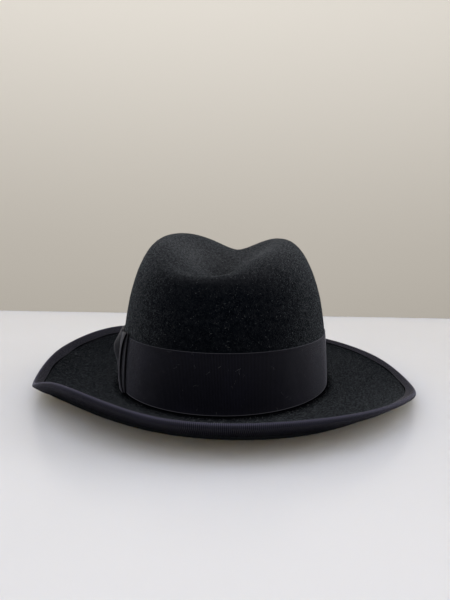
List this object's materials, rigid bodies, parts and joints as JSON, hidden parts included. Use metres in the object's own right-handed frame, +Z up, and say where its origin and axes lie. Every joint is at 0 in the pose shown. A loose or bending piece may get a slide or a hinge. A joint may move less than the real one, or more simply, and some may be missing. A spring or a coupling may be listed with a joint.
{
  "type": "felt hat",
  "caption": "Felt hat with a creased crown, a brim turned up at the back and bound with ribbon, a wide ribbed band round the crown and a flat bow on the wearer's left.",
  "frame": {"origin": "middle of the head opening, in the plane that the hat rests on", "axes": "+Z up through the crown, +Y to the hat's front, +X to the wearer's right"},
  "size_m": [0.3056, 0.3255, 0.1235],
  "materials": {
    "felt": "matt fur felt with a short nap, black",
    "band_ribbon": "upright-ribbed grosgrain ribbon with a slight sheen, black",
    "binding_ribbon": "cross-ribbed grosgrain binding with a slight sheen, black"
  },
  "bodies": {
    "root": {"felt_body": "felt", "brim_binding": "binding_ribbon", "crown_band": "band_ribbon", "bow_under_strip": "band_ribbon", "bow_over_strip": "band_ribbon", "bow_knot": "band_ribbon"}
  },
  "joints": []
}
